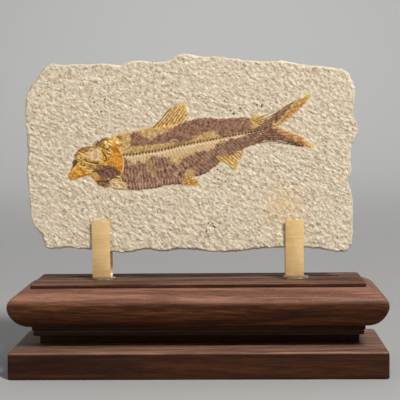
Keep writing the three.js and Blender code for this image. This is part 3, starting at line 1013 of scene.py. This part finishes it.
def add_camera():
    yaw, pitch, roll = (math.radians(CAMERA[k]) for k in ("yaw", "pitch", "roll"))
    data = bpy.data.cameras.new("camera")
    data.lens = CAMERA["lens"]
    camera = bpy.data.objects.new("camera", data)
    bpy.context.scene.collection.objects.link(camera)
    turn = (Matrix.Rotation(yaw, 4, "Z") @ Matrix.Rotation(math.pi / 2 - pitch, 4, "X")
            @ Matrix.Rotation(roll, 4, "Z"))
    camera.matrix_world = Matrix.Translation(Vector(CAMERA["place"]) * MM) @ turn
    bpy.context.scene.camera = camera


def add_lights():
    for name, place, target, size, power, spread, colour in LAMPS:
        data = bpy.data.lights.new(name, "AREA")
        data.size = size
        data.energy = power
        data.spread = math.radians(spread)
        data.color = colour
        lamp = bpy.data.objects.new(name, data)
        lamp.location = place
        bpy.context.scene.collection.objects.link(lamp)
        aim(lamp, target)


def add_world():
    """Soft light all round, brighter behind the object than in front of it."""
    world = bpy.data.worlds.new("studio")
    world.use_nodes = True
    tree = world.node_tree
    background = tree.nodes["Background"]
    direction = tree.nodes.new("ShaderNodeTexCoord").outputs["Generated"]
    axes = tree.nodes.new("ShaderNodeSeparateXYZ")
    strength = tree.nodes.new("ShaderNodeMapRange")
    strength.interpolation_type = "SMOOTHSTEP"
    tree.links.new(direction, axes.inputs[0])
    tree.links.new(axes.outputs["Y"], strength.inputs["Value"])
    for name, value in (("From Min", -0.1), ("From Max", 0.8), ("To Min", WORLD_FRONT),
                        ("To Max", WORLD_BEHIND)):
        strength.inputs[name].default_value = value
    tree.links.new(strength.outputs[0], background.inputs["Strength"])
    background.inputs["Color"].default_value = (*WORLD_COLOUR, 1)
    bpy.context.scene.world = world


def add_floor():
    """A grey paper floor that sweeps up into a wall behind the object."""
    profile = [(-FLOOR_REACH, 0)]
    for turn in np.linspace(0, math.pi / 2, 25):
        profile.append((SWEEP_START + SWEEP_RADIUS * math.sin(turn),
                        SWEEP_RADIUS * (1 - math.cos(turn))))
    profile.append((SWEEP_START + SWEEP_RADIUS, WALL_TOP))
    points = [(x, y, z) for y, z in profile for x in (-FLOOR_REACH, FLOOR_REACH)]
    faces = [(2 * i, 2 * i + 1, 2 * i + 3, 2 * i + 2) for i in range(len(profile) - 1)]
    floor = new_object("floor", points, faces)
    graph = Graph("floor_paper")
    floor.data.materials.append(graph.finish((*FLOOR_COLOUR, 1), 0.9))


# ------------------------------------------------------------------------ materials


class FossilGraph(Graph):
    """The limestone's tree, with the noises and fields that its layers share."""

    def __init__(self, name):
        super().__init__(name)
        self.fine = self.math("SUBTRACT", self.noise(1700, 3, 0.6), 0.5)
        self.coarse = self.math("SUBTRACT", self.noise(560, 3, 0.6), 0.5)
        self.mottle = self.noise(850, 4, 0.7)
        self.on_front = self.field("front")
        self.grit = self.noise(1.0, 4, 0.72, 0.4, self.stretched((1.5, 0.85, 0.66), STROKE_LEAN))
        self.along_ribs = self.rib_noise()

    def rib_noise(self):
        """Noise in streaks that follow the ribs."""
        node = self.add("CombineXYZ")
        self.plug(node.inputs[0], self.product(self.field("ribs"), 1.1))
        self.plug(node.inputs[1], self.product(self.field("spine"), 0.3))
        return self.noise(1.0, 3, 0.6, 0.3, node.outputs[0])

    def rib_wave(self, wander=0):
        """A wave from -1 to 1 that peaks on every rib, shifted by noise times the wander."""
        count = self.field("ribs")
        if wander:
            count = self.total(count, self.product(self.coarse, wander))
        return self.math("COSINE", self.product(count, TURN))

    def region(self, field, ragged=0.8, soft=0.12):
        """1 inside a region, with an edge that wanders by about the ragged length in mm."""
        edge = self.total(self.product(self.fine, ragged),
                          self.product(self.coarse, 2.4 * ragged))
        return self.between(self.total(self.field(field), edge), -soft, soft)

    def lay(self, under, mask, dark, light, share=1.0):
        """A mottled layer of two colours over the colour so far."""
        tint = self.mix(self.between(self.mottle, 0.38, 0.62), dark, light)
        return self.mix(self.product(mask, share), under, tint)


def limestone_colour(graph):
    """The bare stone: cream, with warm and rosy clouds, a stain, a pale rim that is partly
    painted highlight, and specks.
    """
    # The stone's colour follows the same grit noise that raises its bumps, so it is darker where
    # the bumps lie low.
    stone = graph.ramp(graph.grit, (0.34, (122, 103, 79)), (0.44, (196, 180, 152)),
                       (0.55, (219, 205, 180)), (0.68, (250, 242, 226)))
    warm = graph.between(graph.noise(260, 3, 0.6), 0.46, 0.7, 0, 0.3)
    stone = graph.mix(warm, stone, (206, 176, 138))
    rosy = graph.between(graph.noise(190, 2, 0.6, 0.4), 0.5, 0.72, 0, 0.3)
    stone = graph.mix(rosy, stone, (222, 196, 180))
    stain = graph.between(graph.product(graph.field("stain"), graph.noise(500, 3)), 0.1, 0.6,
                          0, 0.4)
    stone = graph.mix(stain, stone, (224, 182, 126))
    # The broken rim is painted paler: partly the stone's own paler layers, partly a painted
    # highlight where the broken edges catch light.
    rim_strata_and_highlight = graph.ramp(graph.noise(1.0, 4, 0.65, 0.5, graph.stretched((8, 0.9, 8))),
                        (0.36, (196, 180, 152)), (0.5, (232, 220, 198)),
                        (0.64, (252, 246, 234)))
    stone = graph.mix(graph.product(graph.field("broken"), 0.75), stone, rim_strata_and_highlight)
    halo = graph.between(graph.field("fish"), -2.6, -0.3, 0, 0.35)
    stone = graph.mix(halo, stone, (230, 213, 190))
    dots = graph.voronoi(560)
    chosen = graph.math("GREATER_THAN", dots.outputs["Color"],
                        graph.between(graph.field("specks"), 0.05, 0.8, 0.84, 0.3))
    close = graph.between(dots.outputs["Distance"], 0.2, 0.33, 1, 0)
    return graph.mix(graph.product(graph.on_front, chosen, close, 0.9), stone,
                     (44, 38, 32))


def body_colour(graph, colour, body):
    """The fish's own colours under the patches: tan flesh, pale ribs and a crumpled head."""
    fish = graph.ramp(graph.mottle, (0.34, (148, 108, 56)), (0.48, (190, 153, 96)),
                      (0.62, (224, 192, 138)))
    spine = graph.field("spine")
    shows = graph.field("spine_shows")
    below = graph.product(graph.between(spine, -7.0, -2.6), graph.between(spine, 0.0, -0.6),
                          shows, 0.75)
    fish = graph.mix(below, fish, (226, 194, 146))
    tooth = graph.total(graph.product(graph.rib_wave(), 0.5), graph.fine)
    depth = graph.total(spine, graph.product(tooth, 0.9))
    cream = graph.product(graph.between(depth, -2.3, -1.6), graph.between(spine, -0.1, -0.5),
                          shows, 0.85)
    fish = graph.mix(cream, fish, (246, 222, 178))
    crumple = graph.noise(1.0, 5, 0.7, 1.4, graph.stretched((3.4, 1.6, 1.5), HEAD_LEAN))
    bones = graph.ramp(crumple, (0.37, (74, 48, 24)), (0.45, (166, 116, 34)),
                       (0.53, (220, 174, 74)), (0.6, (238, 206, 134)),
                       (0.67, (252, 238, 206)))
    fish = graph.mix(graph.product(graph.field("head"), 0.95), fish, bones)
    gold = graph.ramp(graph.mottle, (0.36, (160, 112, 52)), (0.5, (212, 168, 98)),
                      (0.64, (246, 216, 158)))
    fish = graph.mix(graph.between(graph.field("fins"), -0.2, 0.2), fish, gold)
    return graph.mix(body, colour, fish)


def film_colour(graph, colour, body):
    """The brown film of skin and scales, worn through in streaks along the ribs."""
    stripe = graph.rib_wave(0.9)
    worn = graph.between(graph.along_ribs, 0.6, 0.72, 1, 0.3)
    scales = graph.voronoi(1250).outputs["Distance"]
    for patch in FILMS:
        mask = graph.product(body, graph.region(patch, 1.9, 0.3), worn)
        colour = graph.lay(colour, mask, (90, 58, 50), (156, 116, 92), 0.97)
    film = graph.product(graph.math("MAXIMUM", graph.region("back_brown", 1.5, 0.3),
                                    graph.region("tail_brown", 1.5, 0.3)), body)
    scaly = graph.product(film, graph.between(scales, 0.5, 0.2), 0.3)
    colour = graph.mix(scaly, colour, (178, 140, 110))
    belly = graph.product(graph.region("belly_brown", 1.6, 0.3), body)
    thin = graph.between(graph.noise(430, 3, 0.65, 0.5), 0.52, 0.64, 0, 0.7)
    colour = graph.mix(graph.product(belly, thin), colour, (196, 160, 124))
    broken = graph.between(graph.coarse, -0.1, 0.12)
    pale = graph.product(belly, graph.between(stripe, 0.3, 1.0), broken, 0.6)
    colour = graph.mix(pale, colour, (206, 166, 132))
    gaps = graph.product(belly, graph.between(stripe, -0.3, -1.0), broken, 0.5)
    return graph.mix(gaps, colour, (76, 50, 46))


# Coloured patches laid over the fish in this order: field, dark and light colour, how far
# they cover, and how far their edges wander.
PATCHES = (
    ("belly_tan", (158, 118, 80), (206, 168, 116), 0.7, 2.4),
    ("yellow_patch", (168, 128, 66), (214, 180, 106), 0.8, 2.0),
    ("upper_lobe_orange", (160, 104, 54), (220, 166, 90), 0.8, 2.0),
    ("lower_lobe_orange", (140, 84, 50), (214, 152, 84), 0.75, 2.0),
    ("cheek_olive", (124, 96, 34), (190, 156, 62), 0.8, 1.4),
    ("orbit_pink", (184, 142, 104), (234, 206, 172), 0.85, 2.2),
    ("jaw_orange", (174, 100, 14), (226, 170, 66), 0.95, 0.9),
    ("gill_orange", (180, 102, 16), (226, 164, 62), 0.96, 1.5),
    ("throat_orange", (192, 130, 52), (218, 164, 88), 0.9, 0.9),
    ("pelvic_orange", (176, 106, 26), (226, 178, 84), 0.9, 1.3),
    ("gill_dark", (84, 50, 46), (140, 102, 78), 0.97, 1.6),
    ("throat_dark", (80, 52, 44), (158, 120, 88), 0.9, 2.2),
    ("throat_cream", (176, 134, 90), (238, 210, 164), 0.95, 2.0),
    ("skull_dark", (78, 48, 44), (176, 134, 74), 0.92, 2.6),
    ("lip_dark", (78, 48, 38), (116, 80, 58), 0.95, 0.8),
)


def fossil_in_limestone(name="limestone_fossil", bone=None, beads=False):
    """Cream limestone with the fish's colours laid over it, region by region.

    A bone colour, if there is one, tints the raised strands; beads breaks it up along
    the backbone, one for each vertebra."""
    graph = FossilGraph(name)
    body = graph.math("MAXIMUM", graph.region("body", 0.9), graph.region("fins", 2.4, 0.6))
    body = graph.product(body, graph.on_front)
    colour = limestone_colour(graph)
    colour = body_colour(graph, colour, body)
    colour = film_colour(graph, colour, body)
    for field, dark, light, share, ragged in PATCHES:
        mask = graph.product(graph.region(field, ragged, 0.2), graph.on_front)
        colour = graph.lay(colour, mask, dark, light, share)
    gilt = graph.between(graph.product(graph.field("gilt"), graph.mottle), 0.12, 0.45, 0, 0.6)
    colour = graph.mix(graph.product(gilt, body), colour, (218, 184, 84))
    rust = graph.between(graph.product(graph.field("rust"), graph.mottle), 0.2, 0.4, 0, 0.7)
    colour = graph.mix(graph.product(rust, body), colour, (196, 104, 58))
    if bone:
        worn = graph.between(graph.fine, -0.14, 0.04, 0.3, 1)
        if beads:
            worn = graph.between(graph.rib_wave(), -0.4, 0.3, 0.1, 1)
        colour = graph.mix(worn, colour, bone)
    roughness = graph.between(body, 0, 1, 0.95, 0.68)
    relief = graph.total(graph.grit, graph.product(graph.fine, 0.5))
    normal = graph.bump(relief, 0.00045, 1.0)
    return graph.finish(colour, roughness, normal, Specular_IOR_Level=0.22)


def wood(name, dark, middle, light, sheen_and_dust_colour, gloss, thinnest=0.45):
    """Lacquered hardwood with its grain along X, lightened where it faces up by a painted sheen
    of the top light mixed with dust.

    Gloss is the least roughness, and thinnest is the least share of that painted sheen and dust,
    where a cloud of noise thins it."""
    graph = Graph(name)
    broad = graph.noise(1.0, 4, 0.6, 0.6, graph.stretched((90, 8, 7)))
    grain = graph.noise(1.0, 4, 0.7, 0.4, graph.stretched((14, 0.9, 0.8)))
    pores = graph.noise(1.0, 2, 0.5, 0.0, graph.stretched((5, 0.35, 0.32)))
    blend = graph.total(graph.product(broad, 0.55), graph.product(grain, 0.45))
    colour = graph.ramp(blend, (0.36, dark), (0.5, middle), (0.64, light))
    slots = graph.between(pores, 0.42, 0.32)
    colour = graph.mix(graph.product(slots, 0.55), colour, dark)
    # Painted sheen: faces that point up are lightened towards the sheen colour, in clouds, as the
    # top light's reflection would; part of it stands for dust.
    facing = graph.add("SeparateXYZ")
    graph.plug(facing.inputs[0], graph.add("NewGeometry").outputs["Normal"])
    cloud = graph.noise(1.0, 4, 0.65, 0.2, graph.stretched((48, 3, 3)))
    up = graph.between(facing.outputs["Z"], 0.1, 0.75, 0, 0.9)
    painted_sheen_and_dust = graph.product(up, graph.between(cloud, 0.4, 0.6, thinnest, 1),
                         graph.between(grain, 0.35, 0.6, 0.7, 1))
    colour = graph.mix(painted_sheen_and_dust, colour, sheen_and_dust_colour)
    dust = graph.between(graph.noise(1500, 2), 0.62, 0.72, 0, 0.3)
    colour = graph.mix(graph.product(up, dust), colour, (206, 178, 160))
    roughness = graph.total(graph.product(grain, 0.16), gloss)
    relief = graph.math("SUBTRACT", graph.product(grain, 0.5), slots)
    normal = graph.bump(relief, 0.00007, 0.8)
    return graph.finish(colour, roughness, normal, Specular_IOR_Level=0.13)


def brushed_brass():
    """Brass brushed across the strip, a little tarnished."""
    graph = Graph("brushed_brass")
    brush = graph.noise(1.0, 3, 0.7, 0.0, graph.stretched((11, 1.1, 0.2)))
    tarnish = graph.noise(180, 3, 0.6)
    colour = graph.ramp(graph.total(graph.product(brush, 0.75), graph.product(tarnish, 0.25)),
                        (0.35, (234, 196, 134)), (0.5, (248, 212, 151)),
                        (0.66, (254, 227, 172)))
    roughness = graph.between(brush, 0.3, 0.7, 0.46, 0.62)
    normal = graph.bump(brush, 0.00003, 0.6)
    return graph.finish(colour, roughness, normal, Metallic=0.9)


def set_adhesive():
    """Milky, half-clear adhesive."""
    graph = Graph("set_adhesive")
    milk = graph.noise(600, 3, 0.6)
    colour = graph.ramp(milk, (0.3, (206, 190, 176)), (0.7, (236, 230, 222)))
    normal = graph.bump(graph.noise(900, 2), 0.0001, 0.5)
    return graph.finish(colour, graph.between(milk, 0.3, 0.7, 0.12, 0.3), normal,
                        Transmission_Weight=0.8, IOR=1.47)


def build_fossil():
    """The plate, and the raised bones that lie on it."""
    install(build_plate(), fossil_in_limestone(), "limestone", "fossil_slab")
    pale = fossil_in_limestone("pale_bone", (230, 200, 150))
    brown = fossil_in_limestone("brown_bone", (164, 126, 100))
    scute = fossil_in_limestone("pale_scute", (206, 172, 142))
    dark = fossil_in_limestone("dark_bone", (88, 60, 34))
    beaded = fossil_in_limestone("backbone_beads", (104, 76, 40), beads=True)
    ochre = fossil_in_limestone("ochre_ray", (104, 62, 26))
    strokes = (
        ("fish_ribs", rib_strands(), brown),
        ("fish_belly_scutes", scute_strands(), scute),
        ("fish_fin_rays", ray_strands(), ochre),
        ("fish_backbone", backbone_strand(), beaded),
        ("fish_vertebral_arches", arch_strands(), pale),
        ("fish_pale_head_bones", stroke_strands(PALE_HEAD_BONES), pale),
        ("fish_dark_edges", stroke_strands(DARK_HEAD_BONES), dark),
    )
    for name, strands, material in strokes:
        install(strand_mesh(name, strands), material, "limestone")


def build_stand():
    """The five boards of the stand."""
    # The fifth colour of each wood is its painted sheen and dust on faces that point up; the
    # tier's is darker and, with a least share of 0.15, patchier.
    dark_wood = wood("dark_wood", (28, 12, 4), (48, 24, 10), (72, 40, 19),
                     (160, 120, 98), 0.45)
    board_wood = wood("board_wood", (28, 11, 4), (62, 31, 12), (106, 62, 30),
                      (160, 115, 95), 0.45)
    tier_wood = wood("tier_wood", (26, 11, 5), (56, 28, 14), (96, 56, 34),
                     (142, 102, 79), 0.5, 0.15)
    height = {node: (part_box(node)[1].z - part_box(node)[0].z) / MM
              for node in ("plinth", "moulded_board")}
    install(moulded_piece("plinth_board", "plinth", plinth_profile(height["plinth"])),
            dark_wood, "dark_wood", "plinth")
    install(moulded_piece("moulded_top", "moulded_board", board_profile(height["moulded_board"])),
            board_wood, "moulded_wood", "moulded_board")
    install(softened_copy("neck_fillets", "neck_moulding", 0.15), dark_wood, "dark_wood",
            "neck_moulding")
    install(softened_copy("neck_block", "neck_core", 0.3), dark_wood, "dark_wood", "neck_core")
    install(softened_copy("top_tier", "top_board", 0.15), tier_wood, "moulded_wood",
            "top_board")


def build_clips():
    """The brass clips and the adhesive round their feet, wider on the right of each foot."""
    brass = brushed_brass()
    adhesive = set_adhesive()
    spreads = {"left": (0.4, 2.2), "right": (1.1, 3.0)}
    for side, (left, right) in spreads.items():
        install(softened_copy(f"brass_clip_{side}", f"clip_{side}", 0.14), brass, "brass",
                f"clip_{side}")
        install(adhesive_blob(f"adhesive_bead_{side}", f"adhesive_{side}", left, right),
                adhesive, "adhesive", f"adhesive_{side}")


def main():
    bpy.context.scene.view_settings.view_transform = "Standard"
    add_camera()
    add_lights()
    add_world()
    add_floor()
    build_fossil()
    build_stand()
    build_clips()


main()
